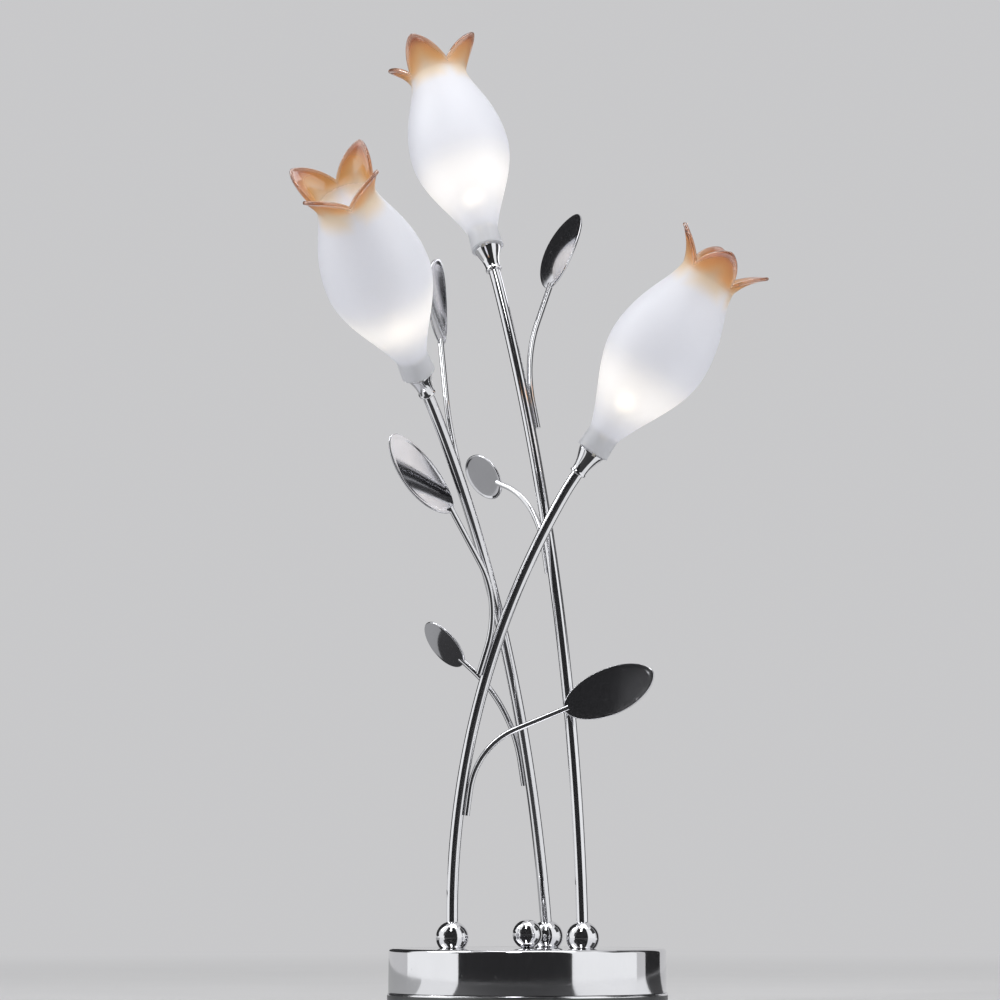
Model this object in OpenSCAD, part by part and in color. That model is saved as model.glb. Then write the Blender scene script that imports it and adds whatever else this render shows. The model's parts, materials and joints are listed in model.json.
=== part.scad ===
// Table lamp with three tulip glass shades on bent tube stems with leaves.
// Millimetres, +Z up, origin at the centre of the base's underside.

/* [Base] */
// Outer diameter of the drum cover
drum_d = 140; // [120:1:180]
// Height of the drum cover
drum_h = 22; // [20:0.5:40]
// Sheet thickness of the drum cover
drum_wall = 1.2; // [0.8:0.1:2]
// Radius of the drum's top edge
drum_edge_r = 1.8; // [1:0.1:3]
// Thickness of the steel base plate
plate_h = 6; // [4.5:0.5:10]
// How far the base plate stands out past the drum
plate_lip = 0.6; // [0.3:0.1:2]
// Chamfer on the base plate's top edge
plate_chamfer = 1.2; // [0.4:0.1:2]
// Thickness of the foot pad
pad_h = 2; // [1:0.5:4]
// Distance from the pad's edge in to the plate's edge
pad_inset = 3; // [1:0.5:10]
// Diameter of the studs' circle on which the stems stand
foot_circle_d = 78; // [66:1:84]
// Direction of the right shade's foot on that circle
foot_angle = 194.5; // [190:0.5:199]

/* [Stems] */
// Outer diameter of the stem tube
tube_d = 6; // [5.4:0.1:6.4]
// Bore of the stem tube
tube_bore = 4.4; // [3.6:0.1:4.6]
// Straight run at the foot of each stem, from the ball's centre
foot_l = 12; // [9:0.5:20]
// Straight run at the top of each stem, below the cup
tail_l = 4; // [1:0.5:10]
// Radius of the short crook below each cup
crook_r = 120; // [60:5:200]
// Diameter of the two-core lead in each stem
lead_d = 2.8; // [2:0.1:3.2]

/* [Right stem] */
// Direction in which the right stem leans
right_lean = -15; // [-18:0.5:-12]
// Tilt of the right stem at its foot
right_tilt = 0; // [0:0.1:3]
// Main bend radius of the right stem
right_bend_r = 407; // [390:1:420]
// Main bend angle of the right stem
right_bend = 31; // [29:0.1:33]
// Crook angle of the right stem
right_crook = 4; // [1:0.1:6]
// Turn of the right shade about its own axis
right_turn = 21; // [0:1:90]

/* [Left stem] */
// Direction in which the left stem leans
left_lean = 243; // [240:0.5:243.5]
// Tilt of the left stem at its foot
left_tilt = 10.1; // [9:0.1:10.5]
// Main bend radius of the left stem
left_bend_r = 490; // [480:1:510]
// Main bend angle of the left stem
left_bend = 32.9; // [31:0.1:34]
// Crook angle of the left stem
left_crook = 1.8; // [1:0.1:4]
// Turn of the left shade about its own axis
left_turn = 80; // [0:1:90]

/* [Top stem] */
// Direction in which the top stem leans
top_lean = 130; // [126:0.5:133]
// Tilt of the top stem at its foot
top_tilt = 2.4; // [2:0.1:3]
// Main bend radius of the top stem
top_bend_r = 1061; // [1040:1:1080]
// Main bend angle of the top stem
top_bend = 17.8; // [17:0.1:19]
// Crook angle of the top stem
top_crook = 2.8; // [1:0.1:4]
// Turn of the top shade about its own axis
top_turn = 28; // [0:1:90]

/* [Balls] */
// Diameter of the ball at each stem's foot
ball_d = 16.5; // [15:0.1:20]
// Height of a foot ball's centre over the drum
ball_lift = 5.5; // [5:0.1:7]
// Diameter of the centre ball nut
centre_ball_d = 15; // [12:0.1:18]
// Height of the centre ball's centre over the drum
centre_ball_lift = 6.9; // [5.4:0.1:7]
// Thread diameter of the centre rod
rod_nut_d = 6; // [5:0.5:7]
// Thread diameter of the stem nipples
nipple_d = 8; // [7.2:0.2:9]
// Bore of the stem nipples
nipple_bore = 5; // [4:0.1:5.6]

/* [Cups] */
// Visible height of the chrome cup under the glass
cup_h = 13.4; // [11:0.1:18]
// Diameter of the collar at the cup's foot
collar_d = 8.6; // [8:0.1:9.4]
// Diameter of the cup's waist over the collar
cup_waist_d = 7.8; // [7.4:0.1:8.4]
// Diameter of the cup's rim under the glass
cup_rim_d = 13.8; // [13.6:0.1:14.6]
// Depth of the tube's socket in the cup
cup_socket_l = 4; // [2:0.5:6]
// Height of the spring fingers over the rim
finger_h = 9; // [7:0.5:12]
// Wall of the spring fingers
finger_wall = 0.6; // [0.4:0.1:0.8]
// Width of the slots between the fingers
finger_slot = 2; // [1:0.1:3]

/* [Lamp holder and bulb] */
// Height of the ceramic lamp holder
holder_h = 8; // [6:0.5:9]
// Distance between the bulb's pins
pin_pitch = 4; // [3:0.1:4.4]
// Diameter of the bulb's pins
pin_d = 0.7; // [0.5:0.05:0.9]
// Diameter of the bulb's capsule
bulb_d = 9.4; // [8:0.1:10.4]
// Height of the pinched foot of the bulb
pinch_h = 8; // [6:0.5:10]
// Height of the bulb's capsule
capsule_h = 20; // [16:0.5:24]
// Glass thickness of the bulb
bulb_wall = 0.8; // [0.5:0.1:1.2]

/* [Shades] */
// Glass thickness of the shade
glass = 1.9; // [1.2:0.1:2.4]
// Diameter of the shade's neck at its foot
neck_d = 16.9; // [16.4:0.1:18]
// Diameter of the shade's throat over the neck
throat_d = 15.9; // [15.2:0.1:16.4]
// Height of the neck
neck_l = 10; // [8:0.5:12]
// Diameter of the shade's belly
belly_d = 52; // [44:0.5:60]
// Height of the belly over the neck's foot
belly_z = 59; // [55:0.5:64]
// Diameter of the mouth's waist
mouth_d = 30; // [26:0.1:34]
// Height of the waist over the neck's foot
mouth_z = 104.5; // [98:0.5:110]
// Radius of the petals' outward curl
curl_r = 29; // [25:0.5:36]
// Slope of the petals at the waist, off the shade's axis
curl_from = 16; // [8:1:24]
// Slope of the petals at their tips
curl_to = 55; // [45:1:62]
// Height of the notches between petals, along the curl
notch_l = 2.6; // [1.5:0.1:6]
// Number of petals
petals = 4; // [3:1:5]

/* [Leaves] */
// Diameter of the leaf rods
rod_d = 3; // [2.6:0.1:3.2]
// Length of rod brazed along its stem
lap_l = 13; // [8:1:18]
// Sheet thickness of the leaves
leaf_t = 0.9; // [0.6:0.1:1.2]
// How far a leaf's root is let into its rod
leaf_in = 3; // [2:0.5:4]
// Length of a long leaf
leaf_l = 50; // [42:1:54]
// Width of a long leaf
leaf_w = 24; // [20:1:27]
// Doming radius of a long leaf
leaf_dome_r = 130; // [100:5:250]
// Length of a round leaf
disc_l = 29; // [25:1:32]
// Width of a round leaf
disc_w = 24; // [20:1:27]
// Doming radius of a round leaf
disc_dome_r = 60; // [45:5:120]

/* [Right upper leaf] */
// Height of the rod's foot along the stem
ru_foot = 132.4; // [129:0.1:136]
// Side of the stem on which the rod lies
ru_side = 229; // [225:1:233]
// Bend radius of the rod
ru_bend_r = 52.9; // [49:0.1:56]
// Bend angle of the rod
ru_bend = 50.4; // [47:0.1:54]
// Straight run to the leaf
ru_run = 35; // [32:0.1:38]
// Roll of the leaf about its rod
ru_roll = 116; // [112:1:120]
// Pitch of the leaf
ru_pitch = -14; // [-17:1:-11]

/* [Right lower leaf] */
// Height of the rod's foot along the stem
rl_foot = 61.6; // [58:0.1:65]
// Side of the stem on which the rod lies
rl_side = 357; // [353:1:361]
// Bend radius of the rod
rl_bend_r = 37.7; // [34:0.1:41]
// Bend angle of the rod
rl_bend = 61.2; // [58:0.1:65]
// Straight run to the leaf
rl_run = 30.1; // [27:0.1:34]
// Roll of the leaf about its rod
rl_roll = 263; // [259:1:267]
// Pitch of the leaf
rl_pitch = 0; // [-3:1:3]

/* [Left upper leaf] */
// Height of the rod's foot along the stem
lu_foot = 227.4; // [224:0.1:231]
// Side of the stem on which the rod lies
lu_side = 198; // [194:1:202]
// Bend radius of the rod
lu_bend_r = 51.5; // [48:0.1:55]
// Bend angle of the rod
lu_bend = 55.7; // [52:0.1:59]
// Straight run to the leaf
lu_run = 32.9; // [29:0.1:36]
// Roll of the leaf about its rod
lu_roll = 262; // [258:1:266]
// Pitch of the leaf
lu_pitch = 4; // [1:1:7]

/* [Left lower leaf] */
// Height of the rod's foot along the stem
ll_foot = 79; // [76:0.1:82]
// Side of the stem on which the rod lies
ll_side = 260; // [256:1:264]
// Bend radius of the rod
ll_bend_r = 63.4; // [60:0.1:67]
// Bend angle of the rod
ll_bend = 49.8; // [46:0.1:53]
// Straight run to the leaf
ll_run = 8; // [5:0.1:11]
// Roll of the leaf about its rod
ll_roll = 248; // [244:1:252]
// Pitch of the leaf
ll_pitch = 1; // [-2:1:4]

/* [Top upper leaf] */
// Height of the rod's foot along the stem
tu_foot = 262.3; // [259:0.1:266]
// Side of the stem on which the rod lies
tu_side = 258; // [254:1:262]
// Bend radius of the rod
tu_bend_r = 91.8; // [88:0.1:95]
// Bend angle of the rod
tu_bend = 29.7; // [26:0.1:33]
// Straight run to the leaf
tu_run = 25.5; // [22:0.1:29]
// Roll of the leaf about its rod
tu_roll = 18; // [14:1:22]
// Pitch of the leaf
tu_pitch = 1; // [-2:1:4]

/* [Top lower leaf] */
// Height of the rod's foot along the stem
tl_foot = 185.8; // [182:0.1:189]
// Side of the stem on which the rod lies
tl_side = 359; // [355:1:363]
// Bend radius of the rod
tl_bend_r = 46.4; // [43:0.1:50]
// Bend angle of the rod
tl_bend = 58.5; // [55:0.1:62]
// Straight run to the leaf
tl_run = 7.9; // [4:0.1:11]
// Roll of the leaf about its rod
tl_roll = 67; // [63:1:71]
// Pitch of the leaf
tl_pitch = 3; // [0:1:6]

/* [Inside the base] */
// Length of the transformer
trafo_l = 50; // [42:1:54]
// Depth of the transformer, from the centre outwards
trafo_w = 27; // [22:1:30]
// Height of the transformer
trafo_h = 13; // [10:0.5:14]
// Distance from the base's centre to the transformer's near side
trafo_r = 22; // [21:0.5:24]
// Length of the terminal block
block_l = 24; // [20:1:26]
// Depth of the terminal block
block_w = 16; // [14:1:18]
// Height of the terminal block
block_h = 11; // [9:0.5:13]
// Distance from the base's centre to the terminal block's near side
block_r = 14; // [13:0.5:18]
// Bore of the cord inlet
inlet_d = 6.2; // [5:0.1:7]
// Height of the cord inlet over the base plate
inlet_z = 11; // [9:0.5:12]

/* [Fits] */
// Radial clearance between fixed pieces
fit = 0.05; // [0.03:0.01:0.1]
// Radial clearance between glass and cup
glass_fit = 0.3; // [0.25:0.05:0.4]
// Clearance of through holes
hole_fit = 0.2; // [0.1:0.05:0.4]

/* [Hidden] */
$fn = 64;
plate_d = drum_d + 2 * plate_lip;
plate_z = pad_h;
floor_z = plate_z + plate_h;
deck_z = floor_z + drum_h;
ball_z = deck_z + ball_lift;
tube_in = 2.6;
seam = 0.06;
seam_lap = 0.25;
nut_h = 3.6;
nut_rim = 3;
nut_d = nipple_d + 2 * nut_rim;
washer_h = 1;
washer_rim = 4;
washer_d = nipple_d + 2 * washer_rim;
nipple_in = 1.4;
ball_bore = nipple_d - 0.4;
rod_nut_h = 3;
rod_nut_w = rod_nut_d + 5;
nut_recess = rod_nut_h + 0.4;
screw_d = 3;
screw_head_d = 5.6;
screw_head_h = 2;
screw_depth = 3;
ear_h = 2;
ear_w = 10;
ear_l = 8;
neck_wall = 1.15;
sleeve_r = neck_bore_r() - glass_fit;
cup_floor = -2;
holder_r = sleeve_r - finger_wall - fit;
holder_top = cup_floor + holder_h;
filament_z = holder_top + pinch_h + capsule_h * 0.6;
filament_d = 1.4;
pinch_t = 3.6;
pin_in = 3;
lead_z = floor_z + 5.5;
lead_turn_r = 6;
lead_in = 3;
port_in = 4;
key_slot = 1.5;
grommet_wall = 1.5;
block_screw_d = 3.4;
throat_flare = 0.31;
waist_pull = 0.47;
waist_draw = 0.3;
petal_taper = 1.15;
petal_round = 0.4;
glass_steps = 12;
petal_steps = 11;
curl_steps = 8;
clear = 8;

function neck_bore_r() = throat_d / 2 - neck_wall;

// A stem: foot direction, lean, tilt, bend radius, bend, crook, shade's turn
RIGHT = [foot_angle, right_lean, right_tilt, right_bend_r, right_bend,
  right_crook, right_turn];
LEFT = [foot_angle - 120, left_lean, left_tilt, left_bend_r, left_bend,
  left_crook, left_turn];
TOP = [foot_angle + 120, top_lean, top_tilt, top_bend_r, top_bend,
  top_crook, top_turn];
STEMS = [RIGHT, LEFT, TOP];

// A leaf: stem, foot, side, bend radius, bend, run, roll, pitch, is it long
RIGHT_UPPER = [RIGHT, ru_foot, ru_side, ru_bend_r, ru_bend, ru_run,
  ru_roll, ru_pitch, true];
RIGHT_LOWER = [RIGHT, rl_foot, rl_side, rl_bend_r, rl_bend, rl_run,
  rl_roll, rl_pitch, true];
LEFT_UPPER = [LEFT, lu_foot, lu_side, lu_bend_r, lu_bend, lu_run,
  lu_roll, lu_pitch, true];
LEFT_LOWER = [LEFT, ll_foot, ll_side, ll_bend_r, ll_bend, ll_run,
  ll_roll, ll_pitch, false];
TOP_UPPER = [TOP, tu_foot, tu_side, tu_bend_r, tu_bend, tu_run,
  tu_roll, tu_pitch, true];
TOP_LOWER = [TOP, tl_foot, tl_side, tl_bend_r, tl_bend, tl_run,
  tl_roll, tl_pitch, false];

// ---- bent bars: a path is a list of [length, turn in degrees] ----

function arc_l(r, a) = r * a * PI / 180;

// Place reached after a length s of a path: [sideways, up, slope]
function walk(path, s, p = [0, 0], a = 0, i = 0) =
  s <= 0 ? [p[0], p[1], a] :
  i >= len(path) ? [p[0] + s * sin(a), p[1] + s * cos(a), a] :
  let (d = min(s, path[i][0]), t = path[i][1] * d / path[i][0],
    r = t == 0 ? 0 : d * 180 / PI / t,
    q = t == 0 ? p + d * [sin(a), cos(a)]
      : p + r * [cos(a) - cos(a + t), sin(a + t) - sin(a)])
  walk(path, s - d, q, a + t, i + 1);

function path_l(path, i = 0) =
  i >= len(path) ? 0 : path[i][0] + path_l(path, i + 1);

// A round bar or tube along a path that bends towards +X. Each run laps a
// little into the next, and every second one is finer by the seam
module bent(path, d, bore = 0, i = 0) {
  if (i < len(path)) {
    end = walk([path[i]], path[i][0]);
    lap = i < len(path) - 1 ? seam_lap : 0;
    fine = seam * (i % 2);
    if (path[i][1] == 0) {
      linear_extrude(path[i][0] + lap) ring(d - fine, bore + (bore > 0 ? fine : 0));
    } else {
      r = path[i][0] * 180 / PI / path[i][1];
      translate([r, 0, 0]) rotate([90, 0, 180])
        rotate_extrude(angle = path[i][1] + lap / r * 180 / PI)
        translate([r, 0]) ring(d - fine, bore + (bore > 0 ? fine : 0));
    }
    translate([end[0], 0, end[1]]) rotate([0, end[2], 0])
      bent(path, d, bore, i + 1);
  }
}

module ring(d, bore) {
  difference() {
    circle(d = d);
    if (bore > 0) circle(d = bore);
  }
}

// ---- stems ----

function stem_path(k) = [[foot_l, 0], [arc_l(k[3], k[4]), k[4]],
  [arc_l(crook_r, k[5]), k[5]], [tail_l, 0]];
function stem_foot(k) = foot_circle_d / 2 * [cos(k[0]), sin(k[0])];

// Moves its child to a length s along a stem, +Z along the stem
module on_stem(k, s) {
  at = walk(stem_path(k), s, [0, 0], k[2]);
  translate([stem_foot(k)[0], stem_foot(k)[1], ball_z]) rotate([0, 0, k[1]])
    translate([at[0], 0, at[1]]) rotate([0, at[2], 0]) children();
}

// Moves its child to the seat of a stem's shade
module on_seat(k) {
  on_stem(k, path_l(stem_path(k)) + cup_h) children();
}

module stem(k) {
  path = stem_path(k);
  cut = [for (i = [0:len(path) - 1]) i == 0 ? [path[0][0] - tube_in, 0]
    : i == len(path) - 1 ? [path[i][0] + cup_socket_l, 0] : path[i]];
  color("silver") on_stem(k, tube_in) bent(cut, tube_d, tube_bore);
}

module ball(k) {
  color("silver") difference() {
    translate([stem_foot(k)[0], stem_foot(k)[1], ball_z]) difference() {
      sphere(d = ball_d);
      translate([0, 0, -ball_lift - ball_d]) cylinder(d = 2 * ball_d, h = ball_d);
      translate([0, 0, -ball_d])
        cylinder(d = nipple_d + 2 * fit, h = ball_d - nipple_in + hole_fit);
      sphere(d = ball_bore);
    }
    on_stem(k, tube_in) cylinder(d = tube_d + 2 * fit, h = ball_d);
  }
}

// The lead's run inside the base, from the ball down and across to the block
function port(k) = k == TOP ? [block_l / 2, -block_r - block_w * 0.6]
  : k == LEFT ? [block_l / 4, -block_r] : [-block_l / 2, -block_r - block_w * 0.5];

module base_run(k, d) {
  way = port(k) - stem_foot(k);
  drop = ball_z - lead_z - lead_turn_r;
  run = norm(way) - lead_turn_r + port_in;
  translate([stem_foot(k)[0], stem_foot(k)[1], ball_z])
    rotate([0, 180, atan2(way[1], way[0]) + 180])
    bent([[drop, 0], [arc_l(lead_turn_r, 90), 90], [run, 0]], d);
}

module lead(k) {
  path = stem_path(k);
  up = [for (i = [0:len(path) - 1]) i == len(path) - 1
    ? [path[i][0] + cup_h + cup_floor + lead_in, 0] : path[i]];
  color("ivory") union() {
    on_stem(k, 0) bent(up, lead_d);
    on_stem(k, 0) sphere(d = lead_d + 0.2);
    base_run(k, lead_d);
  }
}

// ---- cup, holder and bulb, all drawn from the shade's seat ----

function bez(a, b, c, d, t) = pow(1 - t, 3) * a + 3 * pow(1 - t, 2) * t * b
  + 3 * (1 - t) * t * t * c + t * t * t * d;

module cup(k) {
  collar_h = 1.6;
  low = [cup_waist_d / 2, collar_h - cup_h];
  high = [cup_rim_d / 2, -0.8];
  horn = [for (i = [0:glass_steps]) bez(low, low + [0, cup_h * 0.35],
    high - [1, 3], high, i / glass_steps)];
  color("silver") on_seat(k) difference() {
    rotate_extrude() polygon(concat(
      [[collar_d / 2 - 0.4, -cup_h], [collar_d / 2, 0.4 - cup_h],
       [collar_d / 2, collar_h - 0.4 - cup_h]], horn,
      [[cup_rim_d / 2, 0], [sleeve_r, 0], [sleeve_r, finger_h - 0.8],
       [sleeve_r - 0.3, finger_h], [sleeve_r - finger_wall, finger_h],
       [sleeve_r - finger_wall, cup_floor], [tube_bore / 2, cup_floor],
       [tube_bore / 2, cup_socket_l - cup_h],
       [tube_d / 2 + fit, cup_socket_l - cup_h], [tube_d / 2 + fit, -cup_h]]));
    for (a = [0:90:270]) rotate([0, 0, a + 30])
      translate([sleeve_r - 3, -finger_slot / 2, -1.3])
        cube([6, finger_slot, finger_h + 3]);
  }
}

module holder(k) {
  color("ivory") on_seat(k) translate([0, 0, cup_floor]) difference() {
    cylinder(r = holder_r, h = holder_h);
    translate([0, 0, -1]) cylinder(d = lead_d + hole_fit, h = lead_in + 1);
    for (s = [-1, 1]) translate([s * pin_pitch / 2, 0, pin_in - hole_fit])
      cylinder(d = pin_d + 2 * fit, h = holder_h);
    translate([-holder_r, -key_slot / 2, holder_h - key_slot])
      cube([2 * holder_r, key_slot, 2 * key_slot]);
  }
}

module bulb(k) {
  r = bulb_d / 2;
  color("white") on_seat(k) translate([0, 0, holder_top]) difference() {
    union() {
      translate([-r * 0.85, -pinch_t / 2, 0]) cube([r * 1.7, pinch_t, pinch_h + 1]);
      translate([0, 0, pinch_h]) cylinder(r1 = r * 0.7, r2 = r, h = 2);
      translate([0, 0, pinch_h + 2]) cylinder(r = r, h = capsule_h - 2 - r);
      translate([0, 0, pinch_h + capsule_h - r]) sphere(r = r);
      translate([0, 0, pinch_h + capsule_h - 0.4]) cylinder(r1 = 1.2, r2 = 0.5, h = 1.4);
    }
    translate([0, 0, pinch_h + 2]) cylinder(r = r - bulb_wall, h = capsule_h - 2 - r);
    translate([0, 0, pinch_h + capsule_h - r]) sphere(r = r - bulb_wall);
    for (s = [-1, 1]) translate([s * pin_pitch / 2, 0, -1])
      cylinder(d = pin_d + 2 * fit, h = pinch_h + 4);
  }
}

module filament(k) {
  color("gold") on_seat(k) {
    for (s = [-1, 1]) translate([s * pin_pitch / 2, 0, cup_floor + pin_in])
      cylinder(d = pin_d, h = filament_z - cup_floor - pin_in);
    translate([-pin_pitch / 2, 0, filament_z]) rotate([0, 90, 0])
      cylinder(d = filament_d, h = pin_pitch);
    for (s = [-1, 1]) translate([s * pin_pitch / 2, 0, filament_z])
      sphere(d = filament_d);
  }
}

// ---- glass shade: a turned form with notches cut between its petals ----

// Point of the petals' curl at slope a, as [radius, height]
function curl(a) = [mouth_d / 2, mouth_z]
  + curl_r * [cos(curl_from) - cos(a), sin(a) - sin(curl_from)];

function shade_out() = let (
    throat = [throat_d / 2, neck_l],
    belly = [belly_d / 2, belly_z],
    waist = [mouth_d / 2, mouth_z],
    low = (belly_z - neck_l) / 3,
    high = (mouth_z - belly_z) / 2)
  concat(
    [for (i = [1:glass_steps]) bez(throat, throat + [low * throat_flare, low],
      belly - [0, low], belly, i / glass_steps)],
    [for (i = [1:glass_steps]) bez(belly, belly + [0, high],
      waist - [-waist_draw, high * waist_pull], waist, i / glass_steps)],
    [for (i = [1:curl_steps]) curl(curl_from + (curl_to - curl_from) * i / curl_steps)]);

// The outline moved in by the glass's thickness, square to itself
function inset(line, t) = [for (i = [0:len(line) - 1]) let (
    run = line[min(i + 1, len(line) - 1)] - line[max(i - 1, 0)],
    out = [run[1], -run[0]] / norm(run),
    p = line[i] - t * out) [max(p[0], neck_bore_r()), p[1]]];

function turned_back(line) = [for (i = [len(line) - 1:-1:0]) line[i]];

// Half angle of a petal at x, from 0 at the notch to 1 at the tip
function petal_angle(x) = 180 / petals
  * ((1 - petal_round) * pow(1 - x, petal_taper) + petal_round * sqrt(1 - x));

module notch() {
  first = curl_from + notch_l / curl_r * 180 / PI;
  side = [for (i = [0:petal_steps]) let (x = i / petal_steps * 0.985,
    p = curl(first + (curl_to - first) * x),
    b = 180 / petals - petal_angle(x)) [p[0] * sin(b), p[1]]];
  top = curl(curl_to)[1] + clear;
  wide = side[petal_steps][0];
  rotate([90, 0, 90]) linear_extrude(2 * belly_d) polygon(concat(side,
    [[wide, top], [-wide, top]],
    [for (i = [petal_steps:-1:1]) [-side[i][0], side[i][1]]]));
}

module shade(k) {
  line = shade_out();
  color("white") on_seat(k) translate([0, 0, glass_fit]) difference() {
    rotate_extrude() polygon(concat(
      [[neck_bore_r(), 0], [neck_d / 2, 0], [throat_d / 2, neck_l]], line,
      turned_back(inset(line, glass)), [[neck_bore_r(), neck_l]]));
    for (i = [0:petals - 1]) rotate([0, 0, k[6] + (i + 0.5) * 360 / petals])
      notch();
  }
}

// ---- leaves ----

function rod_path(f) = [[lap_l, 0], [arc_l(f[3], f[4]), f[4]], [f[5], 0]];

module on_rod(f) {
  on_stem(f[0], f[1] + lap_l / 2) rotate([0, 0, f[2]])
    translate([(tube_d + rod_d) / 2 + 2 * fit, 0, -lap_l / 2]) children();
}

// A domed sheet leaf whose root is at the origin, its length along +Z
module blade(l, w, dome_r, t) {
  points = 44;
  narrow = l > 1.5 * w ? 1.12 : 1;
  intersection() {
    rotate([0, -90, 0]) linear_extrude(l, center = true)
      polygon([for (i = [0:points - 1]) let (a = i * 360 / points)
        [l / 2 * (1 - cos(a)), w / 2 * sign(sin(a)) * pow(abs(sin(a)), narrow)]]);
    translate([sqrt(dome_r * dome_r - l * l / 4), 0, l / 2]) difference() {
      sphere(r = dome_r + t / 2);
      sphere(r = dome_r - t / 2);
    }
  }
}

module placed_blade(f, t) {
  at = walk(rod_path(f), path_l(rod_path(f)) - leaf_in);
  on_rod(f) translate([at[0], 0, at[1]]) rotate([0, at[2], 0])
    rotate([0, 0, f[6]]) rotate([0, f[7], 0])
    if (f[8]) blade(leaf_l, leaf_w, leaf_dome_r, t);
    else blade(disc_l, disc_w, disc_dome_r, t);
}

module leaf(f) {
  color("gainsboro") placed_blade(f, leaf_t);
}

module leaf_rod(f) {
  color("silver") difference() {
    union() {
      on_rod(f) bent(rod_path(f), rod_d);
      on_rod(f) sphere(d = rod_d + seam);
    }
    placed_blade(f, leaf_t + 2 * fit);
  }
}

// ---- base ----

module foot_pad() {
  color("dimgray") cylinder(d = plate_d - 2 * pad_inset, h = pad_h);
}

module base_plate() {
  r = plate_d / 2;
  color("gray") difference() {
    rotate_extrude() polygon([[0, plate_z], [r - 0.4, plate_z],
      [r, plate_z + 0.4], [r, floor_z - plate_chamfer],
      [r - plate_chamfer * 0.35, floor_z - plate_chamfer * 0.35],
      [r - plate_chamfer, floor_z], [0, floor_z]]);
    translate([0, 0, plate_z - 1]) 
      cylinder(d = rod_nut_w + 4, h = nut_recess + 1);
    cylinder(d = rod_nut_d + 2 * fit, h = 2 * floor_z);
    on_screws() translate([0, 0, -screw_depth]) cylinder(d = screw_d + 2 * fit, h = plate_h);
  }
}

module base_cover() {
  r = drum_d / 2;
  e = drum_edge_r;
  edge = [for (a = [0:15:90]) [r - e + e * cos(a), deck_z - e + e * sin(a)]];
  color("silver") difference() {
    rotate_extrude() polygon(concat([[r - drum_wall, floor_z], [r, floor_z]],
      edge, [[0, deck_z], [0, deck_z - drum_wall],
      [r - drum_wall - 1, deck_z - drum_wall],
      [r - drum_wall, deck_z - drum_wall - 1]]));
    for (k = STEMS) translate([stem_foot(k)[0], stem_foot(k)[1], floor_z + 1])
      cylinder(d = nipple_d + hole_fit, h = drum_h);
    translate([0, 0, floor_z + 1]) cylinder(d = rod_nut_d + hole_fit, h = drum_h);
    translate([0, r - 5, floor_z + inlet_z]) rotate([-90, 0, 0])
      cylinder(d = inlet_d + 2 * grommet_wall + 2 * fit, h = clear);
  }
}

module hex_nut(across, bore, h) {
  difference() {
    rotate([0, 0, 30]) cylinder(d = across / cos(30), h = h, $fn = 6);
    translate([0, 0, -1]) cylinder(d = bore, h = h + 2);
  }
}

module centre_rod() {
  low = floor_z - plate_h + nut_recess - rod_nut_h;
  color("gray") translate([0, 0, low])
    cylinder(d = rod_nut_d, h = deck_z + centre_ball_lift - low);
}

module rod_nuts() {
  color("gray") {
    translate([0, 0, plate_z + nut_recess - rod_nut_h])
      hex_nut(rod_nut_w, rod_nut_d + 2 * fit, rod_nut_h);
    translate([0, 0, floor_z]) hex_nut(rod_nut_w, rod_nut_d + 2 * fit, rod_nut_h);
  }
}

module centre_ball() {
  color("silver") translate([0, 0, deck_z + centre_ball_lift]) difference() {
    sphere(d = centre_ball_d);
    translate([0, 0, -centre_ball_lift - centre_ball_d])
      cylinder(d = 2 * centre_ball_d, h = centre_ball_d);
    translate([0, 0, -centre_ball_d])
      cylinder(d = rod_nut_d + 2 * fit, h = centre_ball_d + 0.5);
  }
}

module cord_grommet() {
  r = drum_d / 2;
  body = inlet_d / 2 + grommet_wall;
  flange = body + 1.2;
  inner = sqrt(pow(r - drum_wall, 2) - pow(flange, 2)) - r;
  color("dimgray") translate([0, r, floor_z + inlet_z]) rotate([-90, 0, 0])
    rotate_extrude() polygon([[inlet_d / 2, inner - grommet_wall],
      [flange, inner - grommet_wall], [flange, inner], [body, inner], [body, fit],
      [flange + 0.2, fit], [flange, 1.2], [body - 0.4, 1.6], [inlet_d / 2, 1.6]]);
}

// The transformer stands on the free side of the base, opposite the top stem
module on_trafo() {
  rotate([0, 0, foot_angle - 60]) translate([trafo_r, 0, floor_z]) children();
}

module on_screws() {
  for (s = [-1, 1]) on_trafo()
    translate([trafo_w / 2, s * (trafo_l + ear_l) / 2, 0]) children();
}

// The lead between the terminal block and the transformer
module inner_lead(d) {
  translate([-block_l / 4, -block_r - port_in, lead_z]) rotate([-90, 0, 0])
    cylinder(d = d, h = block_r + port_in + trafo_r + 6);
}

module transformer() {
  color("whitesmoke") difference() {
    union() {
      on_trafo() translate([0, -trafo_l / 2, 0]) cube([trafo_w, trafo_l, trafo_h]);
      on_trafo() translate([(trafo_w - ear_w) / 2, -trafo_l / 2 - ear_l, 0])
        cube([ear_w, trafo_l + 2 * ear_l, ear_h]);
    }
    on_screws() translate([0, 0, -1]) cylinder(d = screw_d + hole_fit, h = ear_h + 2);
    inner_lead(lead_d + hole_fit);
  }
}

module transformer_screws() {
  color("gray") on_screws() {
    translate([0, 0, ear_h]) cylinder(d = screw_head_d, h = screw_head_h);
    translate([0, 0, -screw_depth]) cylinder(d = screw_d, h = screw_depth + ear_h + 0.5);
  }
}

module transformer_lead() {
  color("ivory") inner_lead(lead_d);
}

module terminal_block() {
  color("whitesmoke") difference() {
    translate([-block_l / 2, -block_r - block_w, floor_z])
      cube([block_l, block_w, block_h]);
    for (k = STEMS) base_run(k, lead_d + hole_fit);
    inner_lead(lead_d + hole_fit);
    for (x = [-1, 0, 1]) translate([x * block_l / 3.4, -block_r - block_w / 2,
      floor_z + block_h - 2]) cylinder(d = block_screw_d, h = 4);
  }
}

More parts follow.
